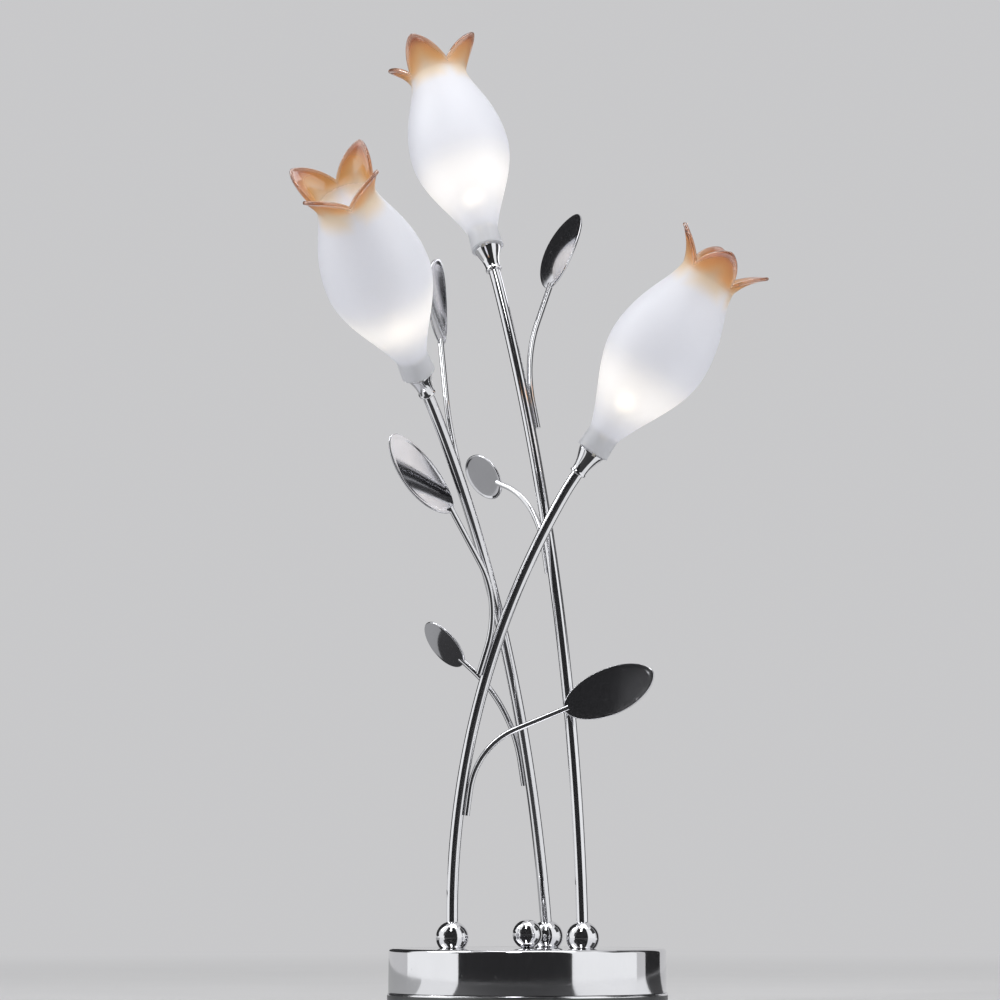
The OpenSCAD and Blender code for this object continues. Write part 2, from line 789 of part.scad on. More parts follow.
module stem_nipples() {
  low = deck_z - drum_wall - washer_h - nut_h - 1.5;
  color("goldenrod") for (k = STEMS)
    translate([stem_foot(k)[0], stem_foot(k)[1], low])
      linear_extrude(ball_z - nipple_in - low) ring(nipple_d, nipple_bore);
}

module stem_washers() {
  color("gray") for (k = STEMS)
    translate([stem_foot(k)[0], stem_foot(k)[1], deck_z - drum_wall - washer_h])
      linear_extrude(washer_h) ring(washer_d, nipple_d + hole_fit);
}

module stem_nuts() {
  color("goldenrod") for (k = STEMS)
    translate([stem_foot(k)[0], stem_foot(k)[1],
      deck_z - drum_wall - washer_h - nut_h])
      hex_nut(nut_d - 1, nipple_d + 2 * fit, nut_h);
}

foot_pad();
base_plate();
base_cover();
centre_rod();
rod_nuts();
centre_ball();
cord_grommet();
transformer();
transformer_screws();
terminal_block();
transformer_lead();
stem_nipples();
stem_washers();
stem_nuts();
ball(RIGHT);  // right_ball
stem(RIGHT);  // right_stem
lead(RIGHT);  // right_lead
cup(RIGHT);  // right_cup
holder(RIGHT);  // right_holder
bulb(RIGHT);  // right_bulb
filament(RIGHT);  // right_filament
shade(RIGHT);  // right_shade
ball(LEFT);  // left_ball
stem(LEFT);  // left_stem
lead(LEFT);  // left_lead
cup(LEFT);  // left_cup
holder(LEFT);  // left_holder
bulb(LEFT);  // left_bulb
filament(LEFT);  // left_filament
shade(LEFT);  // left_shade
ball(TOP);  // top_ball
stem(TOP);  // top_stem
lead(TOP);  // top_lead
cup(TOP);  // top_cup
holder(TOP);  // top_holder
bulb(TOP);  // top_bulb
filament(TOP);  // top_filament
shade(TOP);  // top_shade
leaf_rod(RIGHT_UPPER);  // right_upper_rod
leaf(RIGHT_UPPER);  // right_upper_leaf
leaf_rod(RIGHT_LOWER);  // right_lower_rod
leaf(RIGHT_LOWER);  // right_lower_leaf
leaf_rod(LEFT_UPPER);  // left_upper_rod
leaf(LEFT_UPPER);  // left_upper_leaf
leaf_rod(LEFT_LOWER);  // left_lower_rod
leaf(LEFT_LOWER);  // left_lower_leaf
leaf_rod(TOP_UPPER);  // top_upper_rod
leaf(TOP_UPPER);  // top_upper_leaf
leaf_rod(TOP_LOWER);  // top_lower_rod
leaf(TOP_LOWER);  // top_lower_leaf
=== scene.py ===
import json
import math

import bmesh
import bpy
from mathutils import Matrix, Vector


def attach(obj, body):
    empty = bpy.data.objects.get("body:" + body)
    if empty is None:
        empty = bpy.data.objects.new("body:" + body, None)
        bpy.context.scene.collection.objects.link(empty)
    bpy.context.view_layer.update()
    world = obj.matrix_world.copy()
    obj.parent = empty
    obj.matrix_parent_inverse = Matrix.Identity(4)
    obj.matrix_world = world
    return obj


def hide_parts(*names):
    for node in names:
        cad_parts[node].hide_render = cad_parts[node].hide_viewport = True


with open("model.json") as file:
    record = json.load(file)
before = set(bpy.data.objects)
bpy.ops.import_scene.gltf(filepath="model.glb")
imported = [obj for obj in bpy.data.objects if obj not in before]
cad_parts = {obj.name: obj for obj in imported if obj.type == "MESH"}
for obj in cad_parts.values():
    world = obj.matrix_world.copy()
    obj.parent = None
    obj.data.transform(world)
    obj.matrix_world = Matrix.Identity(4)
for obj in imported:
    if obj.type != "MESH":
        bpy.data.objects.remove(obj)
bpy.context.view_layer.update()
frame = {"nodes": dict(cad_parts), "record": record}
print("frame loaded:", len(frame["nodes"]), "nodes")

mm = 0.001  # the sizes below are in mm, Blender works in metres
mergeWithin = 0.002  # mm, points closer than this are one
scene = bpy.context.scene


def setInputs(tree, node, values):
    # a socket is linked, anything else is set on the node's own input
    for key, value in values.items():
        socket = node.inputs[key]
        if isinstance(value, bpy.types.NodeSocket):
            tree.links.new(value, socket)
        else:
            socket.default_value = value


def addNode(tree, kind, inputs=None, **settings):
    node = tree.nodes.new(kind)
    for key, value in settings.items():
        setattr(node, key, value)
    setInputs(tree, node, inputs or {})
    return node


def calc(tree, operation, first, second=0.0, third=0.0, clamp=False):
    # one Math node: numbers or sockets in, its result out
    return addNode(tree, "ShaderNodeMath", {0: first, 1: second, 2: third},
                   operation=operation, use_clamp=clamp).outputs[0]


def sums(tree):
    # short names for the Math nodes that a longer rule is made of
    def ready(operation):
        return lambda *values: calc(tree, operation, *values)

    return [ready(operation) for operation in (
        "ADD", "SUBTRACT", "MULTIPLY", "DIVIDE", "MULTIPLY_ADD", "SINE", "COSINE")]


def ramp(tree, value, low, high, outLow=0.0, outHigh=1.0, smooth=False):
    kind = "SMOOTHSTEP" if smooth else "LINEAR"
    return addNode(tree, "ShaderNodeMapRange", {
        "Value": value, "From Min": low, "From Max": high,
        "To Min": outLow, "To Max": outHigh}, interpolation_type=kind).outputs["Result"]


def noise(tree, coords, scale, detail=3.0, rough=0.5):
    return addNode(tree, "ShaderNodeTexNoise", {
        "Vector": coords, "Scale": scale, "Detail": detail,
        "Roughness": rough}).outputs["Fac"]


def varied(tree, pattern, low, high):
    # spreads the middle of a noise from low to high
    return ramp(tree, pattern, 0.3, 0.7, low, high)


def stretched(tree, coords, scale, turned=(0, 0, 0)):
    return addNode(tree, "ShaderNodeMapping", {
        "Vector": coords, "Rotation": turned, "Scale": scale}).outputs["Vector"]


def tinted(tree, tone, share):
    return addNode(tree, "ShaderNodeVectorMath", {0: tone, "Scale": share},
                   operation="SCALE").outputs[0]


def mixed(tree, share, first, second):
    return addNode(tree, "ShaderNodeMix", {0: share, 2: first, 3: second}).outputs[0]


def blend(tree, share, first, second):
    # two colours, each a socket or (red, green, blue)
    first, second = [(*v, 1) if isinstance(v, tuple) else v for v in (first, second)]
    return addNode(tree, "ShaderNodeMix", {0: share, 6: first, 7: second},
                   data_type="RGBA").outputs[2]


def kept(tree, name):
    # a value that the piece's mesh keeps at each point
    return addNode(tree, "ShaderNodeAttribute", attribute_name=name).outputs["Fac"]


def parted(tree, vector):
    return addNode(tree, "ShaderNodeSeparateXYZ", {0: vector}).outputs


def startMaterial(name):
    mat = bpy.data.materials.new(name)
    mat.use_nodes = True
    tree = mat.node_tree
    shader = tree.nodes["Principled BSDF"]
    coords = addNode(tree, "ShaderNodeTexCoord").outputs["Object"]
    return mat, tree, shader, coords


def addBump(tree, shader, height, strength, distance):
    bump = addNode(tree, "ShaderNodeBump", {
        "Height": height, "Strength": strength, "Distance": distance})
    tree.links.new(bump.outputs["Normal"], shader.inputs["Normal"])


def placeOf(x, y, z):
    return Matrix.Translation((x * mm, y * mm, z * mm))


def turn(angle, axis):
    return Matrix.Rotation(math.radians(angle), 4, axis)


def between(low, high, step):
    # evenly spaced numbers, about a step apart
    count = max(2, round((high - low) / step))
    return [low + (high - low) * i / count for i in range(count + 1)]


def newPiece(name, mesh, material=None):
    piece = bpy.data.objects.new(name, mesh)
    scene.collection.objects.link(piece)
    if material is not None:
        mesh.materials.clear()
        mesh.materials.append(material)
    return piece


def asMesh(work, name):
    mesh = bpy.data.meshes.new(name)
    work.to_mesh(mesh)
    work.free()
    return mesh


def smoothMesh(mesh, sharp):
    # edges that turn by more than sharp degrees stay crisp
    mesh.polygons.foreach_set("use_smooth", [True] * len(mesh.polygons))
    mesh.set_sharp_from_angle(angle=math.radians(sharp))


def faceOutwards(mesh):
    work = bmesh.new()
    work.from_mesh(mesh)
    bmesh.ops.recalc_face_normals(work, faces=work.faces)
    work.to_mesh(mesh)
    work.free()


def joinRings(work, low, high, steps):
    # faces from one ring of points to the next; a ring may be a single point
    for i in range(steps):
        j = (i + 1) % steps
        corners = [low[i % len(low)], low[j % len(low)],
                   high[j % len(high)], high[i % len(high)]]
        corners = list(dict.fromkeys(corners))
        if len(corners) > 2:
            work.faces.new(corners)


def lathe(name, profile, steps, material, place=Matrix(), sharp=30):
    # profile is [radius, height] in mm, from one pole on the axis to the other
    work = bmesh.new()
    rings = []
    for radius, height in profile:
        around = [2 * math.pi * i / steps for i in range(steps)] if radius else [0]
        rings.append([work.verts.new((radius * mm * math.cos(a), radius * mm * math.sin(a),
                                      height * mm)) for a in around])
    for low, high in zip(rings, rings[1:]):
        joinRings(work, low, high, steps)
    bmesh.ops.recalc_face_normals(work, faces=work.faces)
    mesh = asMesh(work, name)
    smoothMesh(mesh, sharp)
    mesh.transform(place)
    return newPiece(name, mesh, material)


def smoothCopy(node, name, material, sharp=35):
    # a CAD solid with its triangles merged and its round faces smooth
    mesh = frame["nodes"][node].data.copy()
    mesh.name = name
    work = bmesh.new()
    work.from_mesh(mesh)
    bmesh.ops.remove_doubles(work, verts=work.verts, dist=mergeWithin * mm)
    work.to_mesh(mesh)
    work.free()
    if mesh.has_custom_normals:
        mesh.normals_split_custom_set([(0, 0, 0)] * len(mesh.loops))
    smoothMesh(mesh, sharp)
    piece = newPiece(name, mesh, material)
    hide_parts(node)
    return piece


def finishPiece(piece, slot, *nodes, body="lamp"):
    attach(piece, body)
    if nodes:
        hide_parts(*nodes)


def fromTree(name, tree, values, source=None):
    # runs a geometry tree and keeps its result as a plain mesh
    carrier = bpy.data.objects.new(name + "Source", source or bpy.data.meshes.new(name))
    scene.collection.objects.link(carrier)
    shape = carrier.modifiers.new("shape", "NODES")
    shape.node_group = tree
    for item in tree.interface.items_tree:
        if item.item_type == "SOCKET" and item.in_out == "INPUT" and item.name in values:
            shape[item.identifier] = values[item.name]
    ready = carrier.evaluated_get(bpy.context.evaluated_depsgraph_get())
    mesh = bpy.data.meshes.new_from_object(ready)
    carrier.modifiers.remove(shape)
    bpy.data.objects.remove(carrier)
    mesh.name = name
    return mesh


def startTree(name, sizes, takesGeometry=False):
    tree = bpy.data.node_groups.new(name, "GeometryNodeTree")
    face = tree.interface
    if takesGeometry:
        face.new_socket(name="Geometry", in_out="INPUT", socket_type="NodeSocketGeometry")
    for label in sizes:
        kind = "NodeSocketInt" if isinstance(sizes[label], int) else "NodeSocketFloat"
        face.new_socket(name=label, in_out="INPUT", socket_type=kind)
    face.new_socket(name="Material", in_out="INPUT", socket_type="NodeSocketMaterial")
    face.new_socket(name="Geometry", in_out="OUTPUT", socket_type="NodeSocketGeometry")
    return tree, addNode(tree, "NodeGroupInput").outputs


def endTree(tree, given, geometry):
    smooth = addNode(tree, "GeometryNodeSetShadeSmooth", {"Geometry": geometry})
    real = addNode(tree, "GeometryNodeRealizeInstances", {"Geometry": smooth.outputs[0]})
    painted = addNode(tree, "GeometryNodeSetMaterial", {
        "Geometry": real.outputs[0], "Material": given["Material"]})
    addNode(tree, "NodeGroupOutput", {0: painted.outputs[0]})


camera = {
    "place": (-0.0138, -2.0, 0.0625),
    "pitchUp": 5.55,  # degrees above level
    "lens": 142.0,
    "sensor": 36,
    "sees": (0.05, 60),  # nearest and furthest, in metres
}

studio = {
    "backdrop": (0.58, 0.58, 0.59),  # floor and wall, as seen
    "floorTone": (0.66, 0.66, 0.67),
    "worldLight": 0.5,
    "fade": (0.35, 1.6),  # where the floor runs into the wall, in metres
    "floorRadius": 20,
    "floorSides": 96,
    "floorRough": 0.85,
    "floorSpecular": 0.2,
    "floorClouds": 9.0,
    "cloudsBy": 0.015,
    "floorGrain": 240.0,
    "grainBump": (0.06, 0.001),  # strength, height in metres
}

# curved cards that only polished metal sees: how far off in metres, the span
# sideways from the front and the span upwards in degrees, and how bright
cards = {
    "front": {"away": 1.75, "side": (-58, 36), "up": (0, 72), "bright": 0.0},
    "frontLeft": {"away": 1.7, "side": (-66, -57), "up": (12, 34), "bright": 0.0},
    "behindLeft": {"away": 1.75, "side": (-168, -116), "up": (4, 56), "bright": 0.0},
    "behindRight": {"away": 1.75, "side": (112, 140), "up": (0, 50), "bright": 0.0},
    "rightHigh": {"away": 1.65, "side": (76, 108), "up": (22, 50), "bright": 0.03},
    "leftWhite": {"away": 1.8, "side": (-116, -58), "up": (0, 60), "bright": 0.95},
    "rightWhite": {"away": 1.8, "side": (36, 100), "up": (0, 60), "bright": 0.95},
    "leftStrip": {"away": 1.6, "side": (-104, -86), "up": (34, 64), "bright": 7.0},
    "frontStrip": {"away": 1.6, "side": (-22, -8), "up": (46, 70), "bright": 6.0},
}
floorCards = {  # the same, lying flat from one distance to another, at a height in metres
    "front": {"away": (0.074, 1.75), "side": (-58, 36), "height": 0.0005, "bright": 0.0},
    "left": {"away": (0.1, 0.33), "side": (-152, -100), "height": 0.06, "bright": 0.0},
    "leftWhite": {"away": (0.074, 1.8), "side": (-96, -58), "height": 0.0005, "bright": 0.75},
    "leftGrey": {"away": (0.074, 1.8), "side": (-168, -96), "height": 0.0005, "bright": 0.32},
    "rightWhite": {"away": (0.074, 1.8), "side": (36, 112), "height": 0.0005, "bright": 0.8},
    "behindRight": {"away": (0.074, 1.75), "side": (112, 140), "height": 0.0005, "bright": 0.0},
}
cardLook = {
    "color": (0.02, 0.02, 0.022, 1),
    "rough": 0.9,
    "glow": (0.98, 0.99, 1, 1),
    "overFloor": 0.002,  # in metres
    "sideStep": 4,  # degrees from one point to the next
    "upStep": 6,
}

lamps = {  # place, power in watts, size in metres
    "leftPanel": ((-1.5, -0.9, 1.2), 10, (0.7, 1.5)),
    "rightPanel": ((1.5, -0.6, 1.2), 8, (0.6, 1.5)),
    "topPanel": ((0.1, -0.2, 1.9), 10, (1.3, 1.3)),
}
lampsAimAt = (0, 0, 0.25)


def addCamera():
    cam = bpy.data.objects.new("camera", bpy.data.cameras.new("camera"))
    scene.collection.objects.link(cam)
    cam.data.lens = camera["lens"]
    cam.data.sensor_width = camera["sensor"]
    cam.location = camera["place"]
    cam.rotation_euler = (math.radians(90 + camera["pitchUp"]), 0, 0)
    cam.data.clip_start, cam.data.clip_end = camera["sees"]
    scene.camera = cam


def seenDirectly(tree):
    path = addNode(tree, "ShaderNodeLightPath").outputs
    both = calc(tree, "ADD", path["Is Camera Ray"], path["Is Glossy Ray"])
    return calc(tree, "ADD", both, path["Is Transmission Ray"], clamp=True)


def addWorld():
    world = bpy.data.worlds.new("studio")
    scene.world = world
    world.use_nodes = True
    tree = world.node_tree
    tree.nodes.clear()
    light = addNode(tree, "ShaderNodeBackground", {
        "Color": (1, 1, 1, 1), "Strength": studio["worldLight"]})
    wall = addNode(tree, "ShaderNodeBackground", {
        "Color": (*studio["backdrop"], 1), "Strength": 1.0})
    mix = addNode(tree, "ShaderNodeMixShader", {
        0: seenDirectly(tree), 1: light.outputs[0], 2: wall.outputs[0]})
    addNode(tree, "ShaderNodeOutputWorld", {"Surface": mix.outputs[0]})


def addFloor():
    # a faintly clouded floor that runs into the wall's colour further off
    mat, tree, shader, coords = startMaterial("paleFloor")
    by = studio["cloudsBy"]
    share = varied(tree, noise(tree, coords, studio["floorClouds"]), 1 - by, 1 + by)
    setInputs(tree, shader, {
        "Base Color": tinted(tree, studio["floorTone"], share),
        "Roughness": studio["floorRough"],
        "Specular IOR Level": studio["floorSpecular"]})
    addBump(tree, shader, noise(tree, coords, studio["floorGrain"]), *studio["grainBump"])
    away = addNode(tree, "ShaderNodeVectorMath", {0: coords}, operation="LENGTH")
    fade = ramp(tree, away.outputs["Value"], *studio["fade"], smooth=True)
    wall = addNode(tree, "ShaderNodeEmission", {
        "Color": (*studio["backdrop"], 1), "Strength": 1.0})
    mix = addNode(tree, "ShaderNodeMixShader", {
        0: calc(tree, "MULTIPLY", fade, seenDirectly(tree)),
        1: shader.outputs[0], 2: wall.outputs[0]})
    setInputs(tree, tree.nodes["Material Output"], {"Surface": mix.outputs[0]})
    work = bmesh.new()
    bmesh.ops.create_circle(work, cap_ends=True, segments=studio["floorSides"],
                            radius=studio["floorRadius"])
    newPiece("floor", asMesh(work, "floor"), mat)


def addCard(name, rows, bright):
    # rows of points, drawn as one sheet
    mat, tree, shader, _ = startMaterial(name)
    setInputs(tree, shader, {
        "Base Color": cardLook["color"], "Roughness": cardLook["rough"],
        "Emission Color": cardLook["glow"], "Emission Strength": bright})
    work = bmesh.new()
    rows = [[work.verts.new(point) for point in row] for row in rows]
    for low, high in zip(rows, rows[1:]):
        for j in range(len(low) - 1):
            work.faces.new([low[j], low[j + 1], high[j + 1], high[j]])
    card = newPiece(name, asMesh(work, name), mat)
    card.visible_camera = card.visible_diffuse = False
    card.visible_shadow = card.visible_transmission = False


def cardRow(away, height, side):
    return [(away * math.sin(math.radians(a)), -away * math.cos(math.radians(a)), height)
            for a in between(*side, cardLook["sideStep"])]


def addCards():
    for name, card in cards.items():
        rows = []
        for up in between(*card["up"], cardLook["upStep"]):
            a = math.radians(up)
            rows.append(cardRow(card["away"] * math.cos(a),
                                cardLook["overFloor"] + card["away"] * math.sin(a),
                                card["side"]))
        addCard(name + "Card", rows, card["bright"])
    for name, card in floorCards.items():
        addCard(name + "FloorCard", [cardRow(away, card["height"], card["side"])
                                     for away in card["away"]], card["bright"])


def addLamps():
    for name, (place, power, size) in lamps.items():
        data = bpy.data.lights.new(name, "AREA")
        data.shape = "RECTANGLE"
        data.size, data.size_y = size
        data.energy = power
        lamp = bpy.data.objects.new(name, data)
        scene.collection.objects.link(lamp)
        lamp.location = place
        aim = Vector(lampsAimAt) - Vector(place)
        lamp.rotation_euler = aim.to_track_quat("-Z", "Y").to_euler()


addCamera()
addWorld()
addFloor()
addCards()
addLamps()
scene.view_settings.view_transform = "Standard"
print("studio made")


# in these looks a noise is (scale, detail, roughness), a span is (from, to), a bump
# is (strength, height in metres), and what adds to a finish's roughness ends in Dull
chromeLook = {
    "clouds": (38.0, 4.0),
    "cloudSpan": (0.3, 0.75),
    "hairs": (1.0, 2.0),
    "hairStretch": (900, 900, 60),
    "hairTurn": (0.3, 0.2, 0.9),
    "hairDull": 0.03,
    "specks": (420.0, 2.0),
    "speckSpan": (0.68, 0.8),
    "speckDull": 0.16,
    "hazeSpan": (0.35, 0.8),
    "hazeDull": 0.05,
    "waves": (40.0, 1.0),
    "bump": (0.03, 0.0006),
}


def chromeFinish(name, tone, rough, cloud=0.06, grain=1.0):
    # polished plate: faint clouding, fine hairlines and a few dull specks
    look = chromeLook
    mat, tree, shader, coords = startMaterial(name)
    clouds = noise(tree, coords, *look["clouds"])
    share = ramp(tree, clouds, *look["cloudSpan"], 1.0, 1.0 - cloud)
    hair = noise(tree, stretched(tree, coords, look["hairStretch"], look["hairTurn"]),
                 *look["hairs"])
    specks = ramp(tree, noise(tree, coords, *look["specks"]), *look["speckSpan"],
                  0.0, look["speckDull"])
    haze = ramp(tree, clouds, *look["hazeSpan"], rough, rough + look["hazeDull"])
    dull = calc(tree, "ADD", haze, specks)
    setInputs(tree, shader, {
        "Metallic": 1.0, "Base Color": tinted(tree, tone, share),
        "Roughness": calc(tree, "MULTIPLY_ADD", hair, look["hairDull"] * grain, dull)})
    wave = noise(tree, coords, *look["waves"])
    height = calc(tree, "MULTIPLY_ADD", hair, look["hairDull"] * grain, wave)
    addBump(tree, shader, height, *look["bump"])
    return mat


paintLook = {
    "mottle": (160.0, 4.0, 0.6),
    "mottleDull": (-0.06, 0.08),
    "wornSpan": (0.52, 0.6),
    "grain": (1400.0, 2.0),
    "bump": (0.25, 0.0001),
}


def paintFinish(name, tone, rough, speckle, worn=None):
    # mottled and finely grained
    look = paintLook
    mat, tree, shader, coords = startMaterial(name)
    mottled = noise(tree, coords, *look["mottle"])
    color = tinted(tree, tone, varied(tree, mottled, 1 - speckle, 1 + speckle))
    if worn:  # edges rubbed to another tone
        edge = addNode(tree, "ShaderNodeNewGeometry").outputs["Pointiness"]
        rubbed = calc(tree, "MULTIPLY", ramp(tree, edge, *look["wornSpan"]), mottled)
        color = blend(tree, rubbed, color, worn)
    low, high = look["mottleDull"]
    setInputs(tree, shader, {
        "Base Color": color, "Roughness": varied(tree, mottled, rough + low, rough + high)})
    addBump(tree, shader, noise(tree, coords, *look["grain"]), *look["bump"])
    return mat


plateLook = {
    "paint": (0.04, 0.042, 0.045),
    "rough": 0.4,
    "speckle": 0.1,
    "worn": (0.12, 0.12, 0.12),
    "edge": (0.86, 0.86, 0.88),
    "edgeFrom": 6.7,  # mm over the table
    "edgePolish": 0.6,  # the share of its roughness that the bright edge loses
}


def plateFinish():
    # dark paint with a bright turned edge along the top
    look = plateLook
    mat = paintFinish("darkPlatePaint", look["paint"], look["rough"], look["speckle"],
                      look["worn"])
    tree = mat.node_tree
    shader = tree.nodes["Principled BSDF"]
    paint, dull = [shader.inputs[name].links[0].from_socket
                   for name in ("Base Color", "Roughness")]
    coords = addNode(tree, "ShaderNodeTexCoord").outputs["Object"]
    bright = calc(tree, "GREATER_THAN", parted(tree, coords)["Z"], look["edgeFrom"] * mm)
    share = calc(tree, "MULTIPLY_ADD", bright, -look["edgePolish"], 1.0)
    setInputs(tree, shader, {
        "Base Color": blend(tree, bright, paint, look["edge"]), "Metallic": bright,
        "Roughness": calc(tree, "MULTIPLY", dull, share)})
    return mat


metalLook = {
    "lines": (1.0, 3.0),
    "lineStretch": 0.1,
    "lineDull": 0.18,
    "patches": (210.0, 3.0),
    "patchTone": 0.86,
    "patchDull": 0.12,
    "bump": (0.2, 0.0001),
}


def metalFinish(name, tone, rough, lines):
    # fine lines from its making over duller patches
    look = metalLook
    mat, tree, shader, coords = startMaterial(name)
    across = lines * look["lineStretch"]
    turned = noise(tree, stretched(tree, coords, (across, across, lines)), *look["lines"])
    patches = noise(tree, coords, *look["patches"])
    dull = varied(tree, patches, rough, rough + look["patchDull"])
    setInputs(tree, shader, {
        "Metallic": 1.0,
        "Base Color": tinted(tree, tone, varied(tree, patches, look["patchTone"], 1.0)),
        "Roughness": calc(tree, "MULTIPLY_ADD", turned, look["lineDull"], dull)})
    addBump(tree, shader, turned, *look["bump"])
    return mat


shadeLook = {
    "body": (0.82, 0.83, 0.88),
    # the neck's tone below is greyer than the body's: painted shade on the neck, where less of
    # the bulb's light reaches
    "neck": (0.74, 0.75, 0.78),
    "haze": (0.88, 0.74, 0.57),
    "amber": (0.91, 0.52, 0.20),
    "rust": (0.74, 0.30, 0.13),
    "tip": (0.48, 0.16, 0.10),
    "rim": (0.96, 0.80, 0.66),
    "rimShare": 0.35,
    "bodyClear": 0.22,
    "petalClear": 0.62,
    "neckClear": 0.2,  # these two are added
    "rimClear": 0.25,
    "frostRough": (0.44, 0.56),
    "shinyRough": 0.07,
    "coatRough": 0.04,
    "coatIor": 1.7,
    "ior": 1.47,
    "drift": (65.0, 3.0),  # lets the petals' colours wander by a mm
    "driftSpan": (0.2, 0.8),
    "frost": (900.0, 3.0, 0.6),
    "bump": (0.1, 0.0002),
    # heights over the neck's foot in mm
    "neckAt": (12.0, 8.5),
    "neckClearAt": (12.0, 9.0),
    "clearAt": (99.0, 110.0),
    "rimAt": (100.0, 106.0),
    "washAt": (101.0, 112.0),
    "amberAt": (102.0, 109.0),
    "rustAt": (107.0, 117.0),
    "tipAt": (115.5, 120.5),
    # distances from the petals' rims in mm
    "amberRim": (14.4, 3.0),
    "rustRim": (6.0, 1.0),
    "shinyRim": (2.2, 0.9),
    "beadRim": (1.6, 0.5),
    "washRim": (10.0, 0.8),  # how far the rims count in the wash, and how much
    "insideFrom": (0.2, 0.8),  # share of the way through the glass
    # light from the bulb, in mm over the neck's foot
    "glow": (1.0, 0.93, 0.80),
    "glowHeight": 35,
    "glowReach": 14,
    "glowStrength": 0.2,
    "glowTint": (0.0, 0.6),
    "bodyStrength": 0.11,
    "petalLit": ((96.0, 110.0), (1.0, 0.1)),  # heights, and the share of light there
    "neckLit": ((8.0, 15.0), (0.45, 1.0)),
}


def frostedGlass():
    # white frost; the petals are clear amber by their rims and shiny inside
    look = shadeLook
    mat, tree, shader, coords = startMaterial("frostedTulipGlass")
    plus, minus, times, over, timesPlus = sums(tree)[:5]

    def soft(value, span, low=0.0, high=1.0):
        return ramp(tree, value, *span, low, high, smooth=True)

    height, inner, edge = [kept(tree, name) for name in ("height", "inner", "rim")]
    drift = ramp(tree, noise(tree, coords, *look["drift"]), *look["driftSpan"], -1.0, 1.0)
    edge = plus(edge, drift)
    level = plus(height, drift)

    # from the white body through the haze and the amber to the dark tips
    reach, weight = look["washRim"]
    inPetal = timesPlus(calc(tree, "MINIMUM", edge, reach), weight, level)
    # greyer towards the neck's foot: painted shade, not a different glass
    color = blend(tree, soft(height, look["neckAt"]), look["body"], look["neck"])
    color = blend(tree, soft(inPetal, look["washAt"]), color, look["haze"])
    amber = times(soft(edge, look["amberRim"]), soft(level, look["amberAt"]))
    color = blend(tree, amber, color, look["amber"])
    rust = times(ramp(tree, edge, *look["rustRim"]), ramp(tree, level, *look["rustAt"]))
    color = blend(tree, rust, color, look["rust"])
    color = blend(tree, soft(level, look["tipAt"]), color, look["tip"])
    bead = times(ramp(tree, edge, *look["beadRim"]), ramp(tree, level, *look["rimAt"]))
    color = blend(tree, times(bead, look["rimShare"]), color, look["rim"])

    # how clear and how shiny
    top = soft(level, look["clearAt"])
    clear = timesPlus(top, look["petalClear"] - look["bodyClear"], look["bodyClear"])
    clear = plus(clear, soft(height, look["neckClearAt"], 0.0, look["neckClear"]))
    clear = timesPlus(bead, look["rimClear"], clear)
    frost = noise(tree, coords, *look["frost"])
    glazed = calc(tree, "MAXIMUM", ramp(tree, inner, *look["insideFrom"]),
                  ramp(tree, edge, *look["shinyRim"]))
    shiny = times(top, glazed)

    # the bulb's light, strongest by its filament
    away = over(minus(height, look["glowHeight"]), look["glowReach"])
    glow = calc(tree, "EXPONENT", times(times(away, away), -1.0))
    lit = times(*[soft(height, span, *share)
                  for span, share in (look["petalLit"], look["neckLit"])])
    strength = timesPlus(glow, look["glowStrength"], times(lit, look["bodyStrength"]))
    setInputs(tree, shader, {
        "Base Color": color, "Transmission Weight": clear,
        "Roughness": mixed(tree, shiny, varied(tree, frost, *look["frostRough"]),
                           look["shinyRough"]),
        "IOR": look["ior"], "Coat Weight": shiny,
        "Coat Roughness": look["coatRough"], "Coat IOR": look["coatIor"],
        "Emission Strength": strength,
        "Emission Color": blend(tree, ramp(tree, glow, *look["glowTint"]), color,
                                look["glow"])})
    addBump(tree, shader, frost, *look["bump"])
    return mat


glassLook = {
    "smear": (260.0, 3.0),
    "smearTone": 0.95,
    "smearDull": 0.06,
    "ior": 1.46,
    "bump": (0.05, 0.0002),
}


def glassFinish(name, tone, rough, clear, glow):
    # the glow is strongest round the lit coil, going by the height the piece keeps
    look = glassLook
    mat, tree, shader, coords = startMaterial(name)
    smear = noise(tree, coords, *look["smear"])
    color, strength, low, high = glow
    setInputs(tree, shader, {
        "Base Color": tinted(tree, tone, varied(tree, smear, look["smearTone"], 1.0)),
        "Roughness": varied(tree, smear, rough, rough + look["smearDull"]),
        "Transmission Weight": clear, "IOR": look["ior"], "Emission Color": (*color, 1),
        "Emission Strength": ramp(tree, kept(tree, "height"), low, high, 0.0, strength,
                                  smooth=True)})
    addBump(tree, shader, smear, *look["bump"])
    return mat


finish = {  # each with its tone and roughness first
    "chrome": chromeFinish("polishedChrome", (0.83, 0.83, 0.85), 0.025),
    "leaf": chromeFinish("leafChrome", (0.74, 0.74, 0.77), 0.035, cloud=0.1, grain=2.0),
    "plate": plateFinish(),
    "pad": paintFinish("padRubber", (0.03, 0.03, 0.032), 0.8, 0.15),
    "grommet": paintFinish("grommetRubber", (0.035, 0.035, 0.035), 0.6, 0.12),
    "housing": paintFinish("whiteHousing", (0.72, 0.72, 0.69), 0.5, 0.03),
    "lead": paintFinish("ivorySheath", (0.76, 0.73, 0.64), 0.45, 0.04),
    "holder": paintFinish("lampHolderCeramic", (0.82, 0.79, 0.72), 0.7, 0.05),
    "steel": metalFinish("zincSteel", (0.58, 0.59, 0.6), 0.28, 900),
    "brass": metalFinish("plainBrass", (0.75, 0.58, 0.28), 0.24, 800),
    "capsule": glassFinish(  # its glow: colour, strength, mm over the cup from and to
        "capsuleGlass", (0.96, 0.96, 0.96), 0.04, 0.85, ((1.0, 0.84, 0.58), 6.0, 22, 34)),
    "filament": metalFinish("litFilament", (0.9, 0.7, 0.4), 0.3, 600),
    "shade": frostedGlass(),
}
